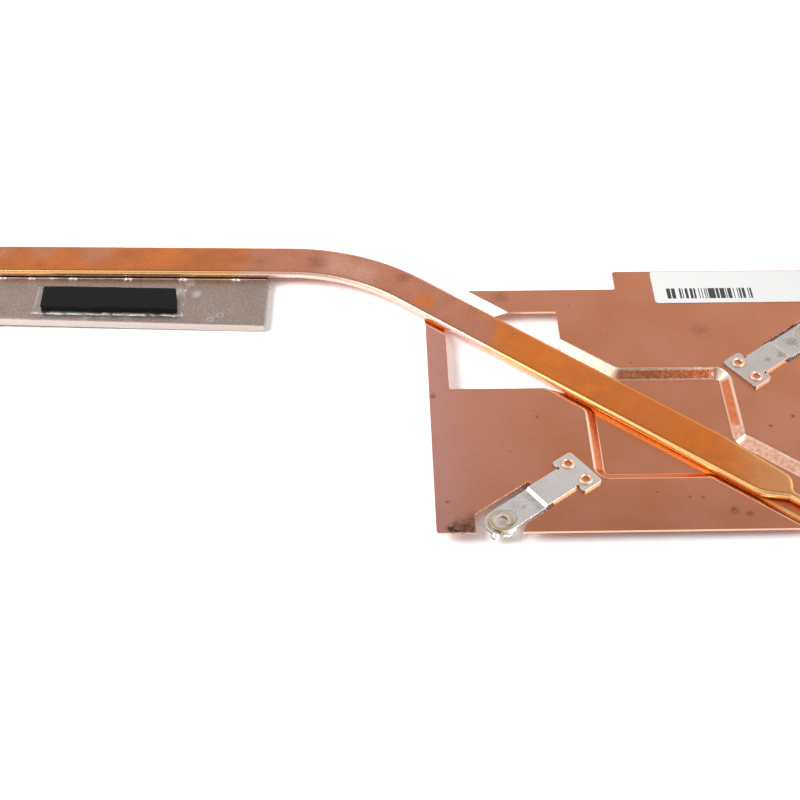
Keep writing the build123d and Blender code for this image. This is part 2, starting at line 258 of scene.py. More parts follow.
# %% World
ROOM_LIGHT = 0.48
WALL, UPPER, CEILING = 1.0, 0.88, 0.36
UPPER_FROM = (0.45, 0.72)
CEILING_FROM = (0.67, 0.82)
# Each patch has its direction, its reach in degrees and its strength.
PATCHES = [
    ((0.0, -0.52, 0.85), 24.0, 0.8),
    ((0.0, 0.15, 0.99), 14.0, 1.8),
    ((0.67, 0.68, 0.28), 14.0, 1.2),
    ((-0.30, -0.16, 0.94), 16.0, 2.6),
]
PATCH_SOFTNESS = 8.0


def seen_directly(tree):
    """1 for what the camera, the metal and clear pieces show, 0 for light on rough surfaces."""
    path = add(tree, "ShaderNodeLightPath").outputs
    seen = number(tree, "MAXIMUM", path["Is Camera Ray"], path["Is Glossy Ray"])
    return number(tree, "MAXIMUM", seen, path["Is Transmission Ray"])


world = bpy.data.worlds.new("studio")
world.use_nodes = True
bpy.context.scene.world = world
tree = world.node_tree
background = tree.nodes["Background"]
look = add(tree, "ShaderNodeTexCoord").outputs["Generated"]
height = axis(tree, look, "Z")
walls = fade(tree, height, *UPPER_FROM, WALL, UPPER)
ceiling = fade(tree, height, *CEILING_FROM, 1.0, CEILING / UPPER)
shown = number(tree, "MULTIPLY", walls, ceiling)
for direction, reach, strength in PATCHES:
    middle = Vector(direction).normalized()
    towards = add(tree, "ShaderNodeVectorMath", {0: look, 1: middle}, operation="DOT_PRODUCT")
    outer = math.cos(math.radians(reach + PATCH_SOFTNESS))
    inner = math.cos(math.radians(reach - PATCH_SOFTNESS))
    patch = fade(tree, towards.outputs["Value"], outer, inner, 1.0, strength)
    shown = number(tree, "MULTIPLY", shown, patch)
room = between(tree, seen_directly(tree), ROOM_LIGHT, shown)
tree.links.new(room, background.inputs["Strength"])
background.inputs["Color"].default_value = (1, 1, 1, 1)
bpy.context.scene.view_settings.view_transform = "Standard"
print("world:", world.name, "patches:", len(PATCHES))

# %% [markdown]
# A light that is right for the white label glares in bare copper. So what lights the surfaces and what
# shows in the metal are set apart: the left box is a wide light that is hidden from the metal, with
# a weaker one a little higher that only the metal shows. The right box is of the second kind.

# %% Soft boxes
LIGHT_DISTANCE = 0.5
# Each box has its name, direction, size in metres, power in watts, and whether it lights and shows.
SOFT_BOXES = [
    ("left_wide", (-0.788, 0.0, 0.616), 0.36, 3.2, True, False),
    ("left_shine", (-0.71, 0.0, 0.70), 0.30, 1.0, False, True),
    ("right_shine", (0.67, -0.18, 0.72), 0.26, 1.2, False, True),
]
for name, direction, size, power, lights, shows in SOFT_BOXES:
    way = Vector(direction).normalized()
    bpy.ops.object.light_add(type="AREA", location=AIM + way * LIGHT_DISTANCE)
    light = bpy.context.object
    light.name = name
    light.data.size = size
    light.data.energy = power
    light.rotation_euler = way.to_track_quat("Z", "Y").to_euler()
    light.visible_camera = False
    light.visible_diffuse = lights
    light.visible_glossy = shows
    print(name, "at", [round(v, 3) for v in light.location])

# %% [markdown]
# The part lies on a white table, resting on the right edge of its cooling plate and on the far right of
# its stamped channel, so it tips by two thirds of a degree. The part isn't turned, because its frame
# is fixed; the table is tipped the other way instead. The picture is exposed for the copper, so the
# table is brighter than white to the camera and to the metal, and only its shadows stay grey.

# %% Table
TABLE_SIZE = 4
TABLE_WHITE = 0.6
TABLE_SEEN = 1.3
CLEARANCE = 0.02 * MM
cool_low, cool_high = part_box("cooling_plate")
plate_low, plate_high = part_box("base_plate")
tip = math.atan2(plate_low.z - cool_low.z, plate_high.x - cool_high.x)
touch = Vector((cool_high.x, 0, cool_low.z - CLEARANCE))

bpy.ops.mesh.primitive_plane_add(size=TABLE_SIZE, location=touch, rotation=(0, -tip, 0))
table = bpy.context.object
table.name = "table"
finish = bpy.data.materials.new("white_table")
finish.use_nodes = True
tree = finish.node_tree
tree.nodes.remove(tree.nodes["Principled BSDF"])
white = between(tree, seen_directly(tree), TABLE_WHITE, TABLE_SEEN)
lit = add(tree, "ShaderNodeBsdfDiffuse", {"Color": white}).outputs[0]
tree.links.new(lit, tree.nodes["Material Output"].inputs["Surface"])
table.data.materials.append(finish)
print("table tipped by", round(math.degrees(tip), 3), "degrees")

# %% [markdown]
# Sheet metal that has been rolled, handled and heated is never one colour. Three effects come back on
# all of its pieces: fine streaks along the rolling direction with cloudy stains and a few dark
# specks, single round marks with or without a ring, and masks for its steep faces: the rim where the
# sheet was cut, the walls that were stamped, and those of them that face back or left. Each is a node
# group, so that every finish can take it with its own values.

# %% Worn metal group
worn_metal, given, result = new_group(
    "worn metal",
    [
        ("Turn", "NodeSocketFloat", 0.0),
        ("Streak width", "NodeSocketFloat", 0.3),
        ("Stain size", "NodeSocketFloat", 9.0),
        ("Grain size", "NodeSocketFloat", 0.25),
        ("Speck spacing", "NodeSocketFloat", 4.0),
    ],
    ["Streaks", "Stains", "Grain", "Specks"],
)
STREAK_STRETCH = (0.03, 1.0, 1.0)
CLOUD_RANGE = (0.3, 0.7)
GRAIN_RANGE = (0.25, 0.75)
SPECK_REACH = 0.05
SPECK_CORE = 0.4 * SPECK_REACH
SPECK_SHARE = 0.45


def scale_for(size):
    """The scale of a noise whose features are about as large as size."""
    return number(worn_metal, "DIVIDE", 1.0, size)


place = place_in_mm(worn_metal)
along_streaks = stretch(worn_metal, turn_level(worn_metal, place, given["Turn"]), STREAK_STRETCH)
streaks = clouds(worn_metal, along_streaks, scale_for(given["Streak width"]), 3)
stains = clouds(worn_metal, place, scale_for(given["Stain size"]), 5)
grain = clouds(worn_metal, place, scale_for(given["Grain size"]), 2)
speck_scale = scale_for(given["Speck spacing"])
cells = add(worn_metal, "ShaderNodeTexVoronoi", {"Vector": place, "Scale": speck_scale})
near = falling(worn_metal, cells.outputs["Distance"], SPECK_CORE, SPECK_REACH)
chosen = number(worn_metal, "LESS_THAN", axis(worn_metal, cells.outputs["Color"], "X"), SPECK_SHARE)
give_out(worn_metal, result, {
    "Streaks": fade(worn_metal, streaks, *CLOUD_RANGE),
    "Stains": fade(worn_metal, stains, *CLOUD_RANGE),
    "Grain": fade(worn_metal, grain, *GRAIN_RANGE),
    "Specks": number(worn_metal, "MULTIPLY", near, chosen),
})
print("group:", worn_metal.name)

# %% Round mark group
round_mark, given, result = new_group(
    "round mark",
    [
        ("Middle", "NodeSocketVector", (0, 0, 0)),
        ("Radius", "NodeSocketFloat", 2.0),
        ("Softness", "NodeSocketFloat", 0.5),
        ("Wobble", "NodeSocketFloat", 1.0),
    ],
    ["Spot", "Ring"],
)
WOBBLE_SCALE = 0.9
LEVEL_ONLY = (1, 1, 0)
place = place_in_mm(round_mark)
apart = add(round_mark, "ShaderNodeVectorMath", {0: place, 1: given["Middle"]}, operation="SUBTRACT")
level_apart = stretch(round_mark, apart.outputs[0], LEVEL_ONLY)
reach = add(round_mark, "ShaderNodeVectorMath", {0: level_apart}, operation="LENGTH").outputs["Value"]
ripple = number(round_mark, "SUBTRACT", clouds(round_mark, place, WOBBLE_SCALE, 6), 0.5)
reach = number(round_mark, "ADD", reach, number(round_mark, "MULTIPLY", ripple, given["Wobble"]))
past = number(round_mark, "SUBTRACT", reach, given["Radius"])
past = number(round_mark, "DIVIDE", past, given["Softness"])
give_out(round_mark, result, {
    "Spot": falling(round_mark, past, -1.0, 1.0),
    "Ring": falling(round_mark, number(round_mark, "ABSOLUTE", past), 0.0, 1.0),
})
print("group:", round_mark.name)

# %% Steep faces group
steep_faces, given, result = new_group(
    "steep faces", [("Reach", "NodeSocketFloat", 0.25)], ["Rim", "Wall", "Back", "Left"]
)
RIM_RANGE = (0.6, 1.0)
UPRIGHT_RANGE = (0.25, 0.4)
FLAT_RANGE = (0.95, 0.985)
BACK_RANGE = (0.15, 0.45)
LEFT_RANGE = (-0.35, 0.1)
facing = add(steep_faces, "ShaderNodeTexCoord").outputs["Normal"]
rise = number(steep_faces, "ABSOLUTE", axis(steep_faces, facing, "Z"))
past = number(steep_faces, "DIVIDE", rise, given["Reach"])
not_upright = fade(steep_faces, rise, *UPRIGHT_RANGE)
not_flat = falling(steep_faces, rise, *FLAT_RANGE)
give_out(steep_faces, result, {
    "Rim": falling(steep_faces, past, *RIM_RANGE),
    "Wall": number(steep_faces, "MULTIPLY", not_upright, not_flat),
    "Back": fade(steep_faces, axis(steep_faces, facing, "Y"), *BACK_RANGE),
    "Left": falling(steep_faces, axis(steep_faces, facing, "X"), *LEFT_RANGE),
})
print("group:", steep_faces.name)

# %% [markdown]
# A mark is a ragged patch of another colour over the finish. The real part has about forty of them. They
# could be painted on a picture by hand; here one helper places a mark, and another lays a list of them
# over a colour, each with its place, size and strength, so that a mark is one short line of numbers.

# %% Helpers for marks
MARK_WOBBLE = 1.6
TORN_SCALE = 1.6
TORN_RANGE = (0.34, 0.56)


def mark(tree, x, y, radius, softness, wobble):
    """Places one round mark on a finish; returns its spot and its ring."""
    values = {"Middle": (x, y, 0), "Radius": radius, "Softness": softness, "Wobble": wobble}
    return effect(tree, round_mark, values)


def lay_marks(tree, colour, marks, tint, thinnest=0.25):
    """Lays ragged marks (x, y, radius, softness, strength) of one tint over a colour."""
    torn = fade(tree, clouds(tree, place_in_mm(tree), TORN_SCALE, 6), *TORN_RANGE, thinnest, 1.0)
    for x, y, radius, softness, strength in marks:
        spot = mark(tree, x, y, radius, softness, MARK_WOBBLE * radius)["Spot"]
        colour = blend(tree, number(tree, "MULTIPLY", spot, torn), colour, tint, strength)
    return colour


print("mark helpers ready")

# %% [markdown]
# The big plate is thin rolled copper that has dulled to a pinkish brown. It shows faint streaks from
# left to right, cloudy stains, dark specks and smudges. Brown and pink are mixed by the stains, and
# the streaks work on the colour and on the roughness together, as they do on real sheet. A painted
# picture could hold all this, but coats and marks stay sharp from close by and are easy to change.

# %% Plate copper, flat sheet
PLATE_BROWN = (0.645, 0.240, 0.118, 1)
PLATE_PINK = (0.740, 0.326, 0.220, 1)
PLATE_MAUVE = (0.740, 0.370, 0.320, 1)
PLATE_DARK = (0.190, 0.078, 0.045, 1)
ORANGE_GLOW = (0.720, 0.250, 0.080, 1)
FRONT_Y = (-26.0, -12.0)
PINK_X = (-40.0, -18.0)
MAUVE_X = (-45.0, -35.0)
PLATE_SMUDGES = [
    (9.3, -22.0, 0.7, 0.5, 0.7), (11.8, -22.7, 0.6, 0.5, 0.6), (-43.4, 7.1, 0.5, 0.4, 0.7),
    (10.8, 24.7, 1.6, 1.6, 0.35), (-28.6, 34.8, 1.4, 1.2, 0.4), (-41.8, -19.3, 0.3, 0.2, 0.8),
    (-24.0, 1.3, 0.3, 0.2, 0.8), (24.5, 0.8, 0.35, 0.2, 0.9), (19.8, -1.7, 0.3, 0.2, 0.9),
    (4.1, -18.9, 0.35, 0.2, 0.9), (1.75, -18.8, 0.3, 0.2, 0.8),
]
PLATE_GLOWS = [(0.0, 38.3, 1.2, 1.0, 0.8), (-13.0, 12.0, 1.6, 1.4, 0.4)]

plate_copper, tree, shader = new_finish("plate_copper_finish", metallic=1.0)
wear = effect(tree, worn_metal, {"Streak width": 0.35, "Stain size": 14.0, "Speck spacing": 5.0})
place = place_in_mm(tree)
across_x, back_y, height = [axis(tree, place, letter) for letter in "XYZ"]
sheet = lay_coats(tree, PLATE_BROWN, [
    (wear["Stains"], PLATE_PINK, 0.5),
    (falling(tree, across_x, *PINK_X), PLATE_PINK, 0.7),
    (falling(tree, across_x, *MAUVE_X), PLATE_MAUVE, 0.8),
    # Darker towards the front: painted shade.
    (falling(tree, back_y, *FRONT_Y), PLATE_DARK, 0.13),
    (wear["Streaks"], PLATE_PINK, 0.06),
    (wear["Grain"], PLATE_DARK, 0.14),
    (wear["Specks"], PLATE_DARK, 0.8),
])
sheet = lay_marks(tree, sheet, PLATE_SMUDGES, PLATE_DARK)
sheet = lay_marks(tree, sheet, PLATE_GLOWS, ORANGE_GLOW)
print("marks on the plate:", len(PLATE_SMUDGES) + len(PLATE_GLOWS))

# %% [markdown]
# The press has burnished the stamped walls, which makes them smoother than the sheet. Their colour holds
# painted light: a painted highlight along their bends at the top and at the foot, with a deeper orange in
# their middles, a painted highlight that makes the wall behind the pipe almost white and lights the
# corners, and a painted reflection on the walls that face back. The walls are told apart by the slope of
# the surface, by its height and by the distance from the pipe, so nothing has to be unwrapped and painted.

# %% Plate copper, stamped walls
WALL_DEEP = (0.660, 0.145, 0.046, 1)
WALL_LIGHT = (0.760, 0.270, 0.130, 1)
# Painted highlights on the walls' bends, on the wall behind the pipe and in the corners.
WALL_HIGHLIGHT = (0.980, 0.680, 0.520, 1)
BARE_COPPER_AND_REFLECTION = (0.930, 0.560, 0.400, 1)
PALE_HIGHLIGHT = (0.970, 0.790, 0.670, 1)
SCUFF_SCALE = 1.4
SCUFF_RANGE = (0.1, 0.9)
# Widths of the painted highlights at the top and at the foot of a wall.
WALL_EDGE = 0.3
WALL_FOOT = 0.12
BEND_SOFT = 0.14
PIPE_DIAGONAL = math.radians(39.3)
BEHIND_PIPE = (4.0, 8.2)
BEHIND_SOFT = 0.6
SHEEN_X = (-10.0, 4.0)
CORNER_HIGHLIGHTS = [(13.1, 12.7, 1.5, 0.6, 0.95)]
wall_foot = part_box("pocket_solder")[0].z / MM
wall_top = plate_high.z / MM

faces = effect(tree, steep_faces, {"Reach": 0.25})
scuffed = fade(tree, clouds(tree, place, SCUFF_SCALE, 5), *SCUFF_RANGE)
# Painted highlight along the top and the foot of each wall; the middle between them keeps its orange.
bent_middle = inside(tree, height, (wall_foot + WALL_FOOT, wall_top - WALL_EDGE), BEND_SOFT)
wall = blend(tree, bent_middle, WALL_HIGHLIGHT, blend(tree, scuffed, WALL_DEEP, WALL_LIGHT))
across_pipe = axis(tree, turn_level(tree, place, PIPE_DIAGONAL), "Y")
behind_pipe = inside(tree, across_pipe, BEHIND_PIPE, BEHIND_SOFT)
behind_pipe = number(tree, "MULTIPLY", behind_pipe, faces["Left"])
# The wall behind the pipe is painted pale as a highlight, brighter towards the left, and the corners get
# painted highlights.
sheen_to_left = falling(tree, across_x, *SHEEN_X)
channel_wall = blend(tree, scuffed, blend(tree, sheen_to_left, WALL_LIGHT, WALL_HIGHLIGHT), PALE_HIGHLIGHT)
wall = blend(tree, behind_pipe, wall, channel_wall, 0.8)
wall = lay_marks(tree, wall, CORNER_HIGHLIGHTS, PALE_HIGHLIGHT, thinnest=0.7)
# Walls that face back get a painted reflection.
wall = blend(tree, faces["Back"], wall, BARE_COPPER_AND_REFLECTION)
print("stamped walls from", round(wall_foot, 2), "to", round(wall_top, 2), "mm")

# %% [markdown]
# Flux has kept a strip of the floor beside the pipe clean and orange, the sheet has a bright line
# wherever it was cut, and soot has burnt onto its front left corner: a brown haze with a black crust.
# These lie over sheet and walls alike, so they come last, and the soot comes after the rim.

# %% Plate copper, all together
FLUXED_COPPER = (1.000, 0.560, 0.220, 1)
SOOT = (0.030, 0.024, 0.022, 1)
SOOT_BROWN = (0.150, 0.070, 0.048, 1)
WETTED = (-5.6, -4.0)
WETTED_SOFT = 0.25
SHEET_ROUGH = (0.32, 0.36)
WALL_ROUGH = (0.17, 0.23)
SOOT_SPOTS = [
    (-41.3, -25.5, 0.9, 0.5, 0.85), (-39.6, -25.7, 0.8, 0.6, 0.6), (-38.0, -25.4, 0.9, 0.7, 0.45),
]
SOOT_HAZE = [
    (-39.6, -25.2, 1.7, 1.0, 0.6), (-37.8, -24.4, 1.5, 1.2, 0.6), (-37.4, -22.8, 1.0, 1.2, 0.4),
]

beside_pipe = inside(tree, across_pipe, WETTED, WETTED_SOFT)
low_down = falling(tree, height, wall_foot, wall_foot + WALL_EDGE)
colour = lay_coats(tree, sheet, [
    (faces["Wall"], wall, 0.9),
    (number(tree, "MULTIPLY", beside_pipe, low_down), FLUXED_COPPER, 0.9),
    (faces["Rim"], BARE_COPPER_AND_REFLECTION, 1.0),
])
colour = lay_marks(tree, colour, SOOT_HAZE, SOOT_BROWN, thinnest=0.6)
colour = lay_marks(tree, colour, SOOT_SPOTS, SOOT)
dull = ranged(tree, wear["Streaks"], SHEET_ROUGH)
burnished = ranged(tree, scuffed, WALL_ROUGH)
paint(tree, shader, colour, between(tree, faces["Wall"], dull, burnished))
relief(tree, shader, wear["Grain"], strength=0.05, edge=0.12)
dress(plate_copper, "base_plate")

# %% [markdown]
# The heat pipe was round tube once, pressed flat and bent. Where it has been hot or was wiped with
# flux it is a strong orange, and between those stretches it is a dull pink. One mask says where it is
# orange: a fade along the pipe. A stretched noise tears its border, because a straight one looks painted.

# %% Pipe copper, orange and pink
PIPE_ORANGE = (0.855, 0.252, 0.063, 1)
PIPE_HOT = (1.000, 0.272, 0.043, 1)
PIPE_DEEP = (0.670, 0.212, 0.071, 1)
PIPE_YELLOW = (1.000, 0.455, 0.193, 1)
PIPE_PINK = (0.710, 0.293, 0.177, 1)
PIPE_DARK = (0.260, 0.090, 0.045, 1)
LEFT_BORDER, RIGHT_BORDER = -82.0, -31.5
BORDER_SOFT = 4
HOT_X = (-60.0, -25.0)
YELLOW_X = (8.0, 20.0)
RAGGED = 24.0
RAG_SCALE = 0.4
RAG_STRETCH = (0.35, 1.0, 1.0)
PIPE_DULL = [(-123.5, 50.6, 2.6, 1.4, 1.0), (-112.5, 50.2, 3.4, 1.6, 1.0), (-132.0, 51.0, 2.2, 1.4, 0.9)]

pipe_copper, tree, shader = new_finish("pipe_copper_finish", metallic=1.0)
straight = effect(tree, worn_metal, {"Streak width": 0.22, "Stain size": 5.0, "Grain size": 0.22})
slanted = effect(tree, worn_metal, {
    "Turn": PIPE_DIAGONAL, "Streak width": 0.22, "Stain size": 3.0, "Speck spacing": 2.6,
})
place = place_in_mm(tree)
across_x = axis(tree, place, "X")
rag = number(tree, "SUBTRACT", clouds(tree, stretch(tree, place, RAG_STRETCH), RAG_SCALE, 5), 0.5)
ragged_x = number(tree, "ADD", across_x, number(tree, "MULTIPLY", rag, RAGGED))
left_orange = falling(tree, ragged_x, LEFT_BORDER - BORDER_SOFT, LEFT_BORDER + BORDER_SOFT)
right_orange = fade(tree, ragged_x, RIGHT_BORDER - BORDER_SOFT, RIGHT_BORDER + BORDER_SOFT)
orange = number(tree, "ADD", left_orange, right_orange)
strong = lay_coats(tree, blend(tree, straight["Stains"], PIPE_DEEP, PIPE_ORANGE), [
    (fade(tree, across_x, *HOT_X), blend(tree, straight["Stains"], PIPE_ORANGE, PIPE_HOT), 1.0),
    (fade(tree, across_x, *YELLOW_X), PIPE_YELLOW, 1.0),
])
strong = lay_marks(tree, strong, PIPE_DULL, PIPE_PINK)
strong = blend(tree, slanted["Stains"], strong, PIPE_DARK, 0.14)
pink = blend(tree, slanted["Stains"], PIPE_PINK, PIPE_DARK, 0.16)
print("pipe is orange up to x", LEFT_BORDER, "and from x", RIGHT_BORDER)

# %% [markdown]
# Over that lie smudges, paler patches on the bend that are painted highlights, fine lines from the
# drawing of the tube, which turn with the bend, and sparks of bare metal. The rounded edges and the sides
# carry a painted highlight, and the back side is painted shade. All of it is laid on in coats, so a
# coat can be moved or left out without the rest.

# %% Pipe copper, marks and edges
PIPE_PALE_HIGHLIGHT = (0.890, 0.490, 0.358, 1)
PIPE_SIDE_HIGHLIGHT = (0.960, 0.540, 0.250, 1)
PIPE_PINK_HIGHLIGHT = (0.960, 0.690, 0.570, 1)
PIPE_SPARK_AND_HIGHLIGHT = (1.000, 0.660, 0.270, 1)
BEND_X = (-74.0, -45.0)
PIPE_ROUGH = (0.2, 0.28)
PIPE_SPOTS = [(-44.15, 33.74, 2.0, 0.7, 1.0)]
PIPE_BEND_HIGHLIGHTS = [(-62.0, 45.0, 3.2, 2.6, 0.7), (-56.5, 42.4, 3.2, 2.6, 0.7)]
PIPE_SMUDGES = [(-48.2, 40.9, 1.2, 1.0, 0.6), (-65.9, 46.2, 2.0, 1.4, 0.5), (-78.0, 46.6, 1.2, 1.0, 0.4)]

faces = effect(tree, steep_faces, {"Reach": 0.6})
lines = between(tree, fade(tree, across_x, *BEND_X), straight["Streaks"], slanted["Streaks"])
colour = blend(tree, orange, pink, strong)
colour = lay_marks(tree, colour, PIPE_SPOTS, PIPE_ORANGE, thinnest=0.7)
# Paler patches on the bend: painted highlights.
colour = lay_marks(tree, colour, PIPE_BEND_HIGHLIGHTS, PIPE_PALE_HIGHLIGHT, thinnest=0.6)
colour = lay_marks(tree, colour, PIPE_SMUDGES, PIPE_DARK)
colour = lay_coats(tree, colour, [
    (lines, PIPE_DARK, 0.12),
    (straight["Grain"], PIPE_DARK, 0.22),
    (straight["Specks"], PIPE_DARK, 0.7),
    (slanted["Specks"], PIPE_SPARK_AND_HIGHLIGHT, 0.8),
    # Painted highlights on the rounded edges and the sides; the back side gets painted shade.
    (faces["Wall"], blend(tree, orange, PIPE_PINK_HIGHLIGHT, PIPE_SPARK_AND_HIGHLIGHT), 0.7),
    (faces["Rim"], blend(tree, orange, PIPE_PINK_HIGHLIGHT, PIPE_SIDE_HIGHLIGHT), 0.8),
    (faces["Back"], PIPE_DARK, 0.7),
])
paint(tree, shader, colour, ranged(tree, straight["Grain"], PIPE_ROUGH))
relief(tree, shader, straight["Grain"], strength=0.1, edge=0.6, samples=16)
dress(pipe_copper, "heat_pipe")

# %% [markdown]
# The cooling plate is sheet with a dull grey plating, a little warm in tone, with a fine sandy grain.
# Its cut edge is brighter. Water has left faint rings on it, and rubbed adhesive a few frosty patches.
# The grain is far too fine to model, so one noise drives the colour, the gloss and a slight relief.

# %% Plated sheet
PLATED = (0.530, 0.416, 0.362, 1)
PLATED_DARK = (0.300, 0.236, 0.204, 1)
PLATED_RIM = (0.470, 0.450, 0.430, 1)
PLATED_ROUGH = (0.30, 0.39)
FROST = (0.780, 0.760, 0.740, 1)
FROST_PATCHES = [
    (-92.4, 41.9, 1.0, 0.6, 0.6), (-90.9, 38.4, 0.9, 0.6, 0.6), (-94.6, 39.1, 1.0, 0.6, 0.5),
    (-112.6, 31.7, 0.9, 0.5, 0.5), (-108.8, 32.2, 1.0, 0.6, 0.45), (-104.6, 32.0, 0.8, 0.5, 0.4),
]
WATER_RINGS = [(-87.5, 30.8, 0.6), (-85.6, 32.0, 0.6)]

plated_sheet, tree, shader = new_finish("plated_sheet_finish", metallic=1.0)
wear = effect(tree, worn_metal, {"Stain size": 6.0, "Grain size": 0.4, "Speck spacing": 3.0})
rim = effect(tree, steep_faces, {"Reach": 0.4})["Rim"]
colour = lay_coats(tree, PLATED, [
    (wear["Grain"], PLATED_DARK, 0.7),
    (wear["Stains"], PLATED_DARK, 0.3),
    (wear["Specks"], PLATED_DARK, 0.5),
])
for x, y, radius in WATER_RINGS:
    ring = mark(tree, x, y, radius, softness=0.2, wobble=0.7)["Ring"]
    colour = blend(tree, ring, colour, FROST, 0.6)
colour = lay_marks(tree, colour, FROST_PATCHES, FROST)
colour = blend(tree, rim, colour, blend(tree, wear["Grain"], PLATED_RIM, PLATED))
paint(tree, shader, colour, ranged(tree, wear["Grain"], PLATED_ROUGH))
relief(tree, shader, wear["Grain"], strength=0.2, edge=0.1)
dress(plated_sheet, "cooling_plate")

# %% [markdown]
# The clips are stamped from spring steel, satin grey with a fine grain and brighter at their cut edges.
# Their sloped bends carry a painted highlight, their cut edges that face left painted shade, and a row of
# marks along the front clip's joggle is a painted shadow.
# A screw has rubbed a golden ring round each eye, more on the side of the tip. The keeper rings under
# the eyes are the same steel, polished by use, so one recipe makes both finishes. The golden rings could
# be faces of their own, but as round marks they leave the imported mesh alone.

# %% Spring steel and keeper steel
STEEL = (0.950, 0.880, 0.850, 1)
STEEL_DARK = (0.340, 0.325, 0.310, 1)
STEEL_RIM_AND_HIGHLIGHT = (0.950, 0.900, 0.820, 1)
GOLD = (0.560, 0.400, 0.140, 1)
RUBBED_AND_SHADE = (0.250, 0.235, 0.215, 1)
REAR_WARM = (0.300, 0.200, 0.180, 1)
REAR_X = (10.0, 15.0)
RUBBED_Y = (-25.0, -22.4)
RUBBED_SHARE = (0.95, 0.45)
CUT_ROUND = 0.18
STEEL_ROUGH_SPREAD = (-0.06, 0.08)
# Each ring has the middle of its front copy, its radius, its softness and its tint.
EYE_RINGS = [((-32.5, -23.6), 2.0, 0.7, GOLD), ((-31.5, -23.1), 1.75, 0.2, RUBBED_AND_SHADE)]
# Smudges, and a painted shadow: the three marks from (-25.5, -20.4) to (-27.4, -17.9) run along the front
# clip's joggle, below its step.
STEEL_SMUDGES_AND_SHADE = [
    (25.5, 17.0, 0.8, 0.6, 0.7), (22.6, 15.6, 0.5, 0.4, 0.6), (28.6, 21.0, 1.2, 0.8, 0.6),
    (17.4, 8.4, 0.5, 0.3, 0.9), (-25.5, -20.4, 0.7, 0.6, 0.4), (-26.4, -19.1, 0.7, 0.6, 0.4),
    (-27.4, -17.9, 0.7, 0.6, 0.4), (-28.3, -20.6, 0.4, 0.4, 0.5), (-30.0, -20.4, 1.0, 0.9, 0.25),
]


def steel_finish(name, roughness, grain_share):
    """A grey steel with grain, a brighter cut rim, rubbed rings round the clip eyes, and painted highlight
    and shade on its bends and left-facing edges.
    """
    finish, tree, shader = new_finish(name, metallic=1.0)
    wear = effect(tree, worn_metal, {"Stain size": 3.0, "Grain size": 0.3, "Speck spacing": 2.5})
    faces = effect(tree, steep_faces, {"Reach": 0.35})
    place = place_in_mm(tree)
    colour = lay_coats(tree, STEEL, [
        (wear["Grain"], STEEL_DARK, grain_share),
        (wear["Stains"], STEEL_DARK, 0.12),
        (wear["Specks"], STEEL_DARK, 0.6),
        (fade(tree, axis(tree, place, "X"), *REAR_X), REAR_WARM, 0.27),
    ])
    colour = lay_marks(tree, colour, STEEL_SMUDGES_AND_SHADE, RUBBED_AND_SHADE)
    rubbed = fade(tree, axis(tree, place, "Y"), *RUBBED_Y, *RUBBED_SHARE)
    for (x, y), radius, softness, tint in EYE_RINGS:
        for side in (1, -1):
            ring = mark(tree, side * x, side * y, radius, softness, wobble=0.6)["Ring"]
            colour = blend(tree, number(tree, "MULTIPLY", ring, rubbed), colour, tint)
    # Sloped bends get a painted highlight; cut edges that face left get painted shade.
    colour = lay_coats(tree, colour, [
        (faces["Wall"], STEEL_RIM_AND_HIGHLIGHT, 0.8),
        (faces["Rim"], blend(tree, faces["Left"], STEEL_RIM_AND_HIGHLIGHT, RUBBED_AND_SHADE), 1.0),
    ])
    limits = [roughness + change for change in STEEL_ROUGH_SPREAD]
    paint(tree, shader, colour, ranged(tree, wear["Grain"], limits))
    relief(tree, shader, wear["Grain"], strength=0.1, edge=CUT_ROUND, samples=16)
    return finish


spring_steel = steel_finish("spring_steel_finish", roughness=0.36, grain_share=0.42)
keeper_steel = steel_finish("keeper_steel_finish", roughness=0.26, grain_share=0.1)
dress(spring_steel, "front_clip", "rear_clip")
dress(keeper_steel, "front_keeper", "rear_keeper")

# %% [markdown]
# The solder joints are tin: bright, slightly lumpy and dull only where flux has dried on them. Little of
# it shows, so one noise for the dull places and a slight relief are enough.

# %% Solder
TIN = (0.680, 0.680, 0.690, 1)
TIN_DULL = (0.420, 0.410, 0.400, 1)
TIN_ROUGH = (0.24, 0.46)
TIN_LUMPS = 0.1
solder, tree, shader = new_finish("solder_finish", metallic=1.0)
wear = effect(tree, worn_metal, {"Stain size": 1.2, "Grain size": 0.3})
colour = blend(tree, wear["Stains"], TIN, TIN_DULL, 0.5)
paint(tree, shader, colour, ranged(tree, wear["Stains"], TIN_ROUGH))
bumps(tree, shader, wear["Grain"], strength=0.2, depth=TIN_LUMPS)
dress(solder, "pocket_solder", "corner_solder")

# %% [markdown]
# The label is smooth white paper with one row of dark bars. An image could hold them, but no files are
# loaded, so a noise draws them by chance: each narrow step along the label is dark or left white.

# %% Label paper
PAPER = (0.950, 0.948, 0.940, 1)
PAPER_SHADE = (0.920, 0.915, 0.900, 1)
PAPER_ROUGH = (0.38, 0.52)
BAR_INK = (0.045, 0.045, 0.050, 1)
BARS_X = (5.6, 23.4)
BARS_Y = (34.0, 37.1)
BAR_STEP = 0.2
BAR_EDGE = 0.04
LEFT_WHITE = 0.35

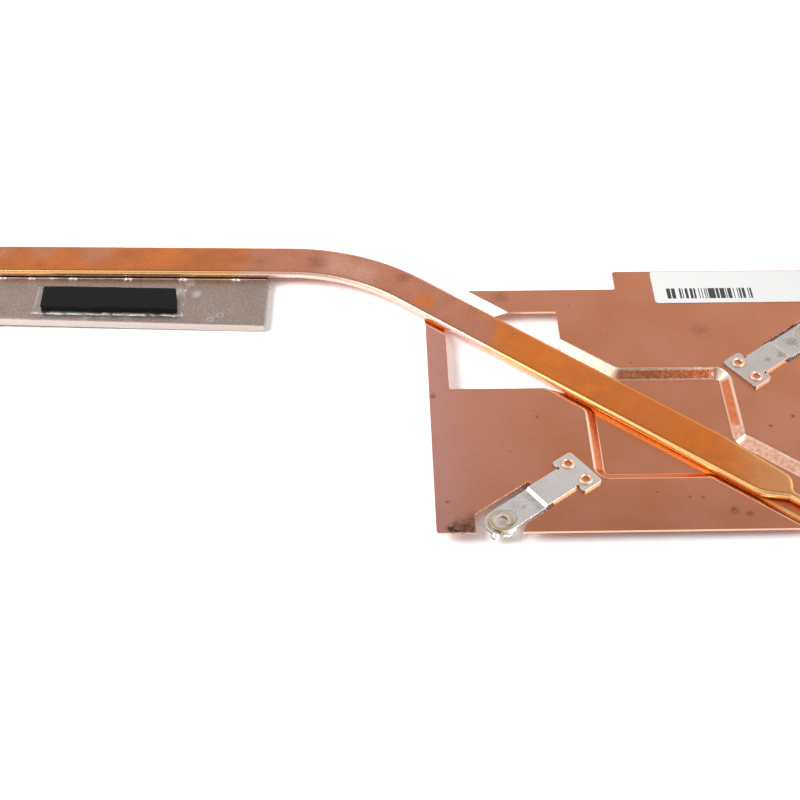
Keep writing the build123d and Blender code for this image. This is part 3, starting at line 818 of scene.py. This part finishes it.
label_paper, tree, shader = new_finish("label_paper_finish", metallic=0.0)
place = place_in_mm(tree)
along, back = axis(tree, place, "X"), axis(tree, place, "Y")
step = number(tree, "FLOOR", number(tree, "DIVIDE", along, BAR_STEP))
chance = add(tree, "ShaderNodeTexWhiteNoise", {"W": step}, noise_dimensions="1D").outputs["Value"]
bars = number(tree, "GREATER_THAN", chance, LEFT_WHITE)
for coordinate, limits in ((along, BARS_X), (back, BARS_Y)):
    bars = number(tree, "MULTIPLY", bars, inside(tree, coordinate, limits, BAR_EDGE))
paper = blend(tree, clouds(tree, place, 1.5, 4), PAPER, PAPER_SHADE)
rough = fade(tree, clouds(tree, place, 6.0, 2), *CLOUD_RANGE, *PAPER_ROUGH)
paint(tree, shader, blend(tree, bars, paper, BAR_INK), rough)
print("finish:", label_paper.name)

# %% [markdown]
# The small pieces are modelled like work by hand: a primitive is put in its place, then shaped in
# edit mode. These helpers start a piece cleanly, divide its long edges, and hand a finished piece over
# to the part with its finish, hiding the CAD pieces that it stands for.

# %% Helpers for modelling
def start(name):
    """Names the primitive that was just added and applies its place to its mesh."""
    piece = bpy.context.object
    piece.name = name
    piece.data.name = name
    bpy.ops.object.transform_apply(location=True, rotation=True, scale=True)
    return piece


def clear_selection():
    """Nothing is selected afterwards, so the next operator works on the next piece only."""
    if bpy.context.object and bpy.context.object.mode != "OBJECT":
        bpy.ops.object.mode_set(mode="OBJECT")
    bpy.ops.object.select_all(action="DESELECT")


def cut_across(piece, way, shortest, cuts):
    """In edit mode, divides every edge that reaches further than shortest along a direction."""
    bpy.ops.mesh.select_mode(type="EDGE")
    bpy.ops.mesh.select_all(action="DESELECT")
    mesh = bmesh.from_edit_mesh(piece.data)
    for edge in mesh.edges:
        span = edge.verts[0].co - edge.verts[1].co
        edge.select_set(abs(span.dot(way)) > shortest)
    bmesh.update_edit_mesh(piece.data)
    bpy.ops.mesh.subdivide(number_cuts=cuts)


def thicken(piece, thickness):
    """Gives a thin sheet its thickness, half of it on each side."""
    modifier = piece.modifiers.new("thickness", "SOLIDIFY")
    modifier.thickness = thickness
    modifier.offset = 0
    bpy.context.view_layer.objects.active = piece
    bpy.ops.object.modifier_apply(modifier=modifier.name)


def smooth(piece, degrees):
    """Shades a piece smooth, apart from edges that are sharper than an angle."""
    piece.select_set(True)
    bpy.context.view_layer.objects.active = piece
    bpy.ops.object.shade_smooth_by_angle(angle=math.radians(degrees))


def hand_over(piece, slot, finish, *stands_for):
    """Gives a finished piece its finish and puts it on the part."""
    clear_selection()
    piece.data.materials.clear()
    piece.data.materials.append(finish)
    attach(piece, "root")
    if stands_for:
        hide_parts(*stands_for)
    print(piece.name, "faces:", len(piece.data.polygons))


clear_selection()
print("modelling helpers ready")

# %% [markdown]
# The foam strip is a black closed-cell pad that once sealed the air duct. It was cut by hand, so both
# of its ends slant, and years under pressure have rounded its top and pulled its sides in. A cloth
# simulation would make it too limp, because cut foam is stiff. So a block is bevelled and divided, and
# its vertices are then moved by these rules and by a slow noise.

# %% Foam finish
FOAM_BLACK = (0.004, 0.0036, 0.004, 1)
FOAM_DUST = (0.008, 0.0075, 0.008, 1)
FOAM_ROUGH = (0.85, 0.97)
FOAM_SHINE = 0.25
DUST_RANGE = (0.3, 0.75)
PORE_SCALE = 4.5
PORE_DEPTH = 0.12
foam_finish, tree, shader = new_finish("foam_finish", metallic=0.0)
shader.inputs["Specular IOR Level"].default_value = FOAM_SHINE
place = place_in_mm(tree)
pores = add(tree, "ShaderNodeTexVoronoi", {"Vector": place, "Scale": PORE_SCALE}).outputs["Distance"]
dust = fade(tree, clouds(tree, place, 0.7, 5), *DUST_RANGE)
rough = ranged(tree, dust, FOAM_ROUGH)
paint(tree, shader, blend(tree, dust, FOAM_BLACK, FOAM_DUST), rough)
bumps(tree, shader, pores, strength=0.5, depth=PORE_DEPTH)
print("finish:", foam_finish.name)

# %% Foam strip
FOAM_SIZE = Vector((27.6, 6.4, 1.3)) * MM
FOAM_TURN = math.radians(-2.4)
FOAM_BEVEL = 0.22 * MM
FOAM_CUTS = (46, 11, 3)
SLOW_WAVE, FINE_WAVE = 3 * MM, 0.7 * MM
WAIST = 0.14 * MM
SIDE_SWAY, END_SWAY = 0.10 * MM, 0.12 * MM
LEFT_SLANT, RIGHT_SLANT = -0.15 * MM, -0.45 * MM
RIGHT_SHORT = 0.05 * MM
TOP_SWAY, TOP_GRAIN = 0.04 * MM, 0.02 * MM
END_SAG, SIDE_SAG = 0.10 * MM, 0.06 * MM
foam_low, foam_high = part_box("foam_strip")
foam_middle = (foam_low + foam_high) / 2

bpy.ops.mesh.primitive_cube_add(size=1, location=foam_middle)
bpy.context.object.scale = FOAM_SIZE
foam = start("foam_pad")
bpy.ops.object.mode_set(mode="EDIT")
bpy.ops.mesh.select_all(action="SELECT")
bpy.ops.mesh.bevel(offset=FOAM_BEVEL, segments=2, affect="EDGES")
for size, cuts, way in zip(FOAM_SIZE, FOAM_CUTS, Matrix.Identity(3)):
    cut_across(foam, way, 0.5 * size, cuts)
bpy.ops.object.mode_set(mode="OBJECT")
for vertex in foam.data.vertices:
    along = (vertex.co.x - foam_middle.x) / (FOAM_SIZE.x / 2)
    side = (vertex.co.y - foam_middle.y) / (FOAM_SIZE.y / 2)
    rise = (vertex.co.z - foam_low.z) / FOAM_SIZE.z
    slow = noise.noise(vertex.co / SLOW_WAVE)
    fine = noise.noise(vertex.co / FINE_WAVE)
    # The waist is deepest at half height; high powers keep slant and sag near the ends and the sides.
    pull = WAIST * 4 * rise * (1 - rise)
    slant = LEFT_SLANT * side if along < 0 else RIGHT_SLANT * side - RIGHT_SHORT
    sag = END_SAG * abs(along) ** 6 + SIDE_SAG * abs(side) ** 4
    vertex.co.x += (slant + END_SWAY * slow) * abs(along) ** 8 - along * pull
    vertex.co.y += SIDE_SWAY * slow * abs(side) - side * pull
    vertex.co.z += rise * (TOP_SWAY * slow + TOP_GRAIN * fine - sag)
to_middle = Matrix.Translation(foam_middle)
foam.data.transform(to_middle @ Matrix.Rotation(FOAM_TURN, 4, "Z") @ to_middle.inverted())
smooth(foam, degrees=50)
hand_over(foam, "foam", foam_finish, "foam_strip")

# %% [markdown]
# Each rivet was set with a punch: a flared head with a rounded rim and a dimple where the punch went
# in. It is round all the way, so it is turned like on a lathe: one point is extruded along the outline
# and the outline is spun. The first is turned in its place, and the other three are copies of it.

# %% Rivet finish
RIVET_BRIGHT = (0.970, 0.700, 0.560, 1)
RIVET_DULL = (0.780, 0.460, 0.330, 1)
RIVET_DIMPLE = (0.640, 0.270, 0.120, 1)
RIVET_ROUGH = (0.3, 0.4)
rivet_low, rivet_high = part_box("front_rivet_inner")
head_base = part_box("front_clip")[1].z

rivet_copper, tree, shader = new_finish("rivet_copper_finish", metallic=1.0)
wear = effect(tree, worn_metal, {"Stain size": 0.8, "Grain size": 0.2})
height = axis(tree, place_in_mm(tree), "Z")
raised = fade(tree, height, head_base / MM, rivet_high.z / MM)
colour = blend(tree, wear["Stains"], RIVET_BRIGHT, RIVET_DULL, 0.5)
colour = blend(tree, raised, RIVET_DIMPLE, colour)
paint(tree, shader, colour, ranged(tree, wear["Grain"], RIVET_ROUGH))
print("finish:", rivet_copper.name)

# %% Rivet outline
DIMPLE_RADIUS = 0.64 * MM
DIMPLE_FLOOR = 0.6 * DIMPLE_RADIUS
DIMPLE_DEPTH = 0.03 * MM
SHANK_RADIUS = 0.85 * MM
FOOT_RADIUS = 1.2 * MM
FOOT_RISE = 0.2 * MM
CREST_STEPS = 10

rivet_middle = (rivet_low + rivet_high) / 2
head_radius = (rivet_high.x - rivet_low.x) / 2
crest_middle = (head_radius + DIMPLE_RADIUS) / 2
crest_half = (head_radius - DIMPLE_RADIUS) / 2
outline = [(0.0, head_base - DIMPLE_DEPTH), (DIMPLE_FLOOR, head_base - DIMPLE_DEPTH)]
for step in range(CREST_STEPS + 1):
    angle = math.pi * step / CREST_STEPS
    out = crest_middle - crest_half * math.cos(angle)
    outline.append((out, head_base + (rivet_high.z - head_base) * math.sin(angle)))
outline += [
    (SHANK_RADIUS, head_base),
    (SHANK_RADIUS, rivet_low.z + FOOT_RISE),
    (FOOT_RADIUS, rivet_low.z + FOOT_RISE),
    (FOOT_RADIUS, rivet_low.z),
    (0.0, rivet_low.z),
]
print("rivet outline points:", len(outline))

# %% Rivets
RIVET_NODES = ["front_rivet_inner", "front_rivet_outer", "rear_rivet_inner", "rear_rivet_outer"]
TURN_STEPS = 48
MERGE_WITHIN = 0.002 * MM

clear_selection()
first_point = (rivet_middle.x, rivet_middle.y, outline[0][1])
bpy.ops.mesh.primitive_plane_add(size=DIMPLE_RADIUS, location=first_point)
first_rivet = start("set_" + RIVET_NODES[0])
bpy.ops.object.mode_set(mode="EDIT")
bpy.ops.mesh.select_mode(type="VERT")
bpy.ops.mesh.select_all(action="SELECT")
bpy.ops.mesh.merge(type="CENTER")
for (out, level_z), (next_out, next_z) in zip(outline, outline[1:]):
    step_by = (next_out - out, 0, next_z - level_z)
    bpy.ops.mesh.extrude_region_move(TRANSFORM_OT_translate={"value": step_by})
bpy.ops.mesh.select_all(action="SELECT")
bpy.ops.mesh.spin(steps=TURN_STEPS, angle=2 * math.pi, center=rivet_middle, axis=(0, 0, 1))
bpy.ops.mesh.select_all(action="SELECT")
bpy.ops.mesh.remove_doubles(threshold=MERGE_WITHIN)
bpy.ops.mesh.normals_make_consistent(inside=False)
bpy.ops.object.mode_set(mode="OBJECT")
smooth(first_rivet, degrees=40)

rivets = [first_rivet]
for node in RIVET_NODES[1:]:
    low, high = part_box(node)
    clear_selection()
    first_rivet.select_set(True)
    bpy.context.view_layer.objects.active = first_rivet
    bpy.ops.object.duplicate(linked=False)
    bpy.ops.transform.translate(value=(low + high) / 2 - rivet_middle)
    rivets.append(start("set_" + node))
for piece, node in zip(rivets, RIVET_NODES):
    hand_over(piece, "rivet_copper", rivet_copper, node)

# %% [markdown]
# The label is a thin strip of paper with rounded corners that has begun to lift along its border. A
# fine grid is put in its place, its corners are drawn in to an arc, its border is raised a little,
# and a modifier gives it thickness. It is never quite flat, which makes paper look like paper.

# %% Label
LABEL_CELL = 0.3 * MM
LABEL_ROUND = 0.7 * MM
LABEL_THICK = 0.05 * MM
LABEL_LIFT = 0.03 * MM
LABEL_BORDER = 0.6 * MM
LABEL_WAVE, LABEL_WAVE_LENGTH = 0.006 * MM, 4 * MM
# The paper runs a little further right than its solid and stays inside the plate's outline.
LABEL_MORE = Vector((0.8, 0, 0)) * MM
label_low, label_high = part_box("label")
label_high = label_high + LABEL_MORE
label_middle = (label_low + label_high) / 2
label_half = (label_high - label_low) / 2

clear_selection()
bpy.ops.mesh.primitive_grid_add(
    x_subdivisions=round(2 * label_half.x / LABEL_CELL), y_subdivisions=round(2 * label_half.y / LABEL_CELL),
    size=2, location=(label_middle.x, label_middle.y, label_low.z + LABEL_THICK / 2),
)
bpy.context.object.scale = (label_half.x, label_half.y, 1)
paper_strip = start("label_strip")
for vertex in paper_strip.data.vertices:
    off = vertex.co - label_middle
    border = min(label_half.x - abs(off.x), label_half.y - abs(off.y))
    past = Vector((abs(off.x) - label_half.x + LABEL_ROUND, abs(off.y) - label_half.y + LABEL_ROUND))
    if min(past) > 0:
        drawn_in = past * (1 - max(past) / past.length)
        vertex.co.x -= math.copysign(drawn_in.x, off.x)
        vertex.co.y -= math.copysign(drawn_in.y, off.y)
    vertex.co.z += LABEL_LIFT * max(0.0, 1 - border / LABEL_BORDER) ** 2
    vertex.co.z += LABEL_WAVE * (1 + noise.noise(vertex.co / LABEL_WAVE_LENGTH))
thicken(paper_strip, LABEL_THICK)
smooth(paper_strip, degrees=30)
hand_over(paper_strip, "label_paper", label_paper, "label")

# %% [markdown]
# The pipe is soldered to the cooling plate. What shows is a thin seam along its front foot, with
# drops where the iron paused. A long cylinder is cut into short rings, and each ring is widened by
# a noise and by the drops near it; what would dip into the plate is pressed flat onto it. The flat film
# of solder under the pipe is a block that is joined on, because the two are one piece of metal.

# %% Solder seam
SEAM_TURN = math.radians(-1.394)
SEAM_FOOT = Vector((-82.8, 42.74, 0.56)) * MM
SEAM_LEFT, SEAM_RIGHT = -140.2 * MM, -76.6 * MM
SEAM_RADIUS = 0.12 * MM
SEAM_SIDES = 14
SEAM_CUTS = 18
SEAM_SWELL, SEAM_WAVE = 0.05 * MM, 1.3 * MM
# Each drop has its place along the seam and its size.
DROPS = [
    (-131.4, 0.8), (-125.25, 1.0), (-120.6, 0.35), (-116.75, 1.0),
    (-105.35, 1.1), (-93.94, 1.0), (-82.9, 0.9),
]
DROP_LENGTH = 0.75 * MM
DROP_SWELL = 0.34 * MM
DROP_FORWARD = 0.26 * MM
cool_top = cool_high.z
run = Vector((math.cos(SEAM_TURN), math.sin(SEAM_TURN), 0))
forward_way = Vector((math.sin(SEAM_TURN), -math.cos(SEAM_TURN), 0))
seam_middle = SEAM_FOOT + run * ((SEAM_LEFT + SEAM_RIGHT) / 2 - SEAM_FOOT.x) / run.x

clear_selection()
bpy.ops.mesh.primitive_cylinder_add(
    vertices=SEAM_SIDES, radius=SEAM_RADIUS, depth=SEAM_RIGHT - SEAM_LEFT, location=seam_middle,
    rotation=(0, math.pi / 2, SEAM_TURN),
)
seam = start("solder_seam")
bpy.ops.object.mode_set(mode="EDIT")
# Two rounds, because one round makes a hundred cuts at most.
for shortest in (10 * SEAM_RADIUS, 2 * SEAM_RADIUS):
    cut_across(seam, run, shortest, SEAM_CUTS)
bpy.ops.object.mode_set(mode="OBJECT")
for vertex in seam.data.vertices:
    along = (vertex.co - SEAM_FOOT).dot(run)
    on_axis = SEAM_FOOT + run * along
    swell = SEAM_SWELL * noise.noise(on_axis / SEAM_WAVE)
    drop = 0.0
    for drop_x, drop_size in DROPS:
        drop = max(drop, drop_size * math.exp(-((on_axis.x - drop_x * MM) / DROP_LENGTH) ** 4))
    outward = (vertex.co - on_axis).normalized()
    vertex.co = on_axis + outward * (SEAM_RADIUS + swell + DROP_SWELL * drop)
    vertex.co += forward_way * DROP_FORWARD * drop
    vertex.co.z = max(vertex.co.z, cool_top)
print("seam with", len(DROPS), "drops, vertices:", len(seam.data.vertices))

# %% Solder film
FILM_INSET = 0.2 * MM
FILM_BACK = 4.4 * MM
FILM_WIDTH = 6.3 * MM
pipe_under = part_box("heat_pipe")[0].z

clear_selection()
bpy.ops.mesh.primitive_cube_add(size=1, location=seam_middle - forward_way * FILM_BACK)
film = bpy.context.object
film.scale = (SEAM_RIGHT - SEAM_LEFT - 2 * FILM_INSET, FILM_WIDTH, pipe_under - cool_top)
film.rotation_euler.z = SEAM_TURN
film.location.z = (pipe_under + cool_top) / 2
start("film")
seam.select_set(True)
bpy.context.view_layer.objects.active = seam
bpy.ops.object.join()
smooth(seam, degrees=50)
hand_over(seam, "solder", solder, "cooling_solder")

# %% [markdown]
# A clear tape holds the foam. All that shows of it is a thin film with whitish, frayed edges. Glass would
# bend the light, which so thin a film doesn't do, so the tape is plain white and its finish lets the
# middle vanish. A grid is laid at its size, and its border is swayed and lifted by a noise.

# %% Tape finish
TAPE_SIZE = Vector((30.6, 8.2)) * MM
TAPE_TURN = math.radians(-2.4)
TAPE_WHITE = (0.820, 0.815, 0.800, 1)
TAPE_GREY = (0.660, 0.650, 0.630, 1)
TAPE_ROUGH = (0.2, 0.45)
# Each edge has its axis, its side and how white it is.
TAPE_EDGES = [("X", -1, 0.25), ("X", 1, 0.7), ("Y", -1, 0.85), ("Y", 1, 0.12)]
MIDDLE_WHITE = 0.03
FRAY_REACH = 1.3
FRAY_RANGE = (-0.7, 0.15)
BLOTCH_RANGE = (0.38, 0.6)
tape_low, tape_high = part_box("foam_tape")
tape_middle = (tape_low + tape_high) / 2

clear_tape, tree, shader = new_finish("clear_tape_finish", metallic=0.0)
place = place_in_mm(tree)
on_tape = add(
    tree, "ShaderNodeMapping",
    {"Vector": place, "Location": tape_middle / MM, "Rotation": (0, 0, TAPE_TURN)}, vector_type="TEXTURE",
).outputs[0]
rag = number(tree, "MULTIPLY", clouds(tree, place, 1.6, 4), FRAY_REACH)
blotchy = fade(tree, clouds(tree, place, 0.5, 4), *BLOTCH_RANGE, 0.1, 1.0)
frayed = MIDDLE_WHITE
for letter, sign, whiteness in TAPE_EDGES:
    half = TAPE_SIZE["XY".index(letter)] / MM / 2
    to_edge = number(tree, "SUBTRACT", half, number(tree, "MULTIPLY", axis(tree, on_tape, letter), sign))
    fray = fade(tree, number(tree, "SUBTRACT", to_edge, rag), *FRAY_RANGE, whiteness, 0.0)
    frayed = number(tree, "MAXIMUM", frayed, fray)
tree.links.new(number(tree, "MULTIPLY", frayed, blotchy), shader.inputs["Alpha"])
colour = blend(tree, clouds(tree, place, 2.2, 3), TAPE_WHITE, TAPE_GREY)
paint(tree, shader, colour, fade(tree, clouds(tree, place, 3.0, 3), *CLOUD_RANGE, *TAPE_ROUGH))
print("finish:", clear_tape.name)

# %% Tape
TAPE_CELLS = (90, 24)
TAPE_THICK = 0.06 * MM
TAPE_BORDER = 1.2 * MM
TAPE_WAVE = 1.1 * MM
TAPE_SWAY = 0.25 * MM
TAPE_LIFT = 0.10 * MM
TAPE_SEED = 3

bpy.ops.mesh.primitive_grid_add(
    x_subdivisions=TAPE_CELLS[0], y_subdivisions=TAPE_CELLS[1], size=1, location=tape_middle,
)
tape = bpy.context.object
tape.scale = (TAPE_SIZE.x, TAPE_SIZE.y, 1)
tape.rotation_euler.z = TAPE_TURN
tape = start("foam_tape_film")
# Without a seed, noise_vector starts from the clock, and each run would fray the tape another way.
noise.seed_set(TAPE_SEED)
for vertex in tape.data.vertices:
    local = Matrix.Rotation(-TAPE_TURN, 3, "Z") @ (vertex.co - tape_middle)
    border = min(TAPE_SIZE.x / 2 - abs(local.x), TAPE_SIZE.y / 2 - abs(local.y))
    nearness = max(0.0, 1 - border / TAPE_BORDER)
    sway = noise.noise_vector(vertex.co / TAPE_WAVE)
    vertex.co.x += TAPE_SWAY * nearness * sway.x
    vertex.co.y += TAPE_SWAY * nearness * sway.y
    vertex.co.z += TAPE_LIFT * nearness * abs(sway.z)
thicken(tape, TAPE_THICK)
smooth(tape, degrees=40)
hand_over(tape, "clear_tape", clear_tape, "foam_tape")
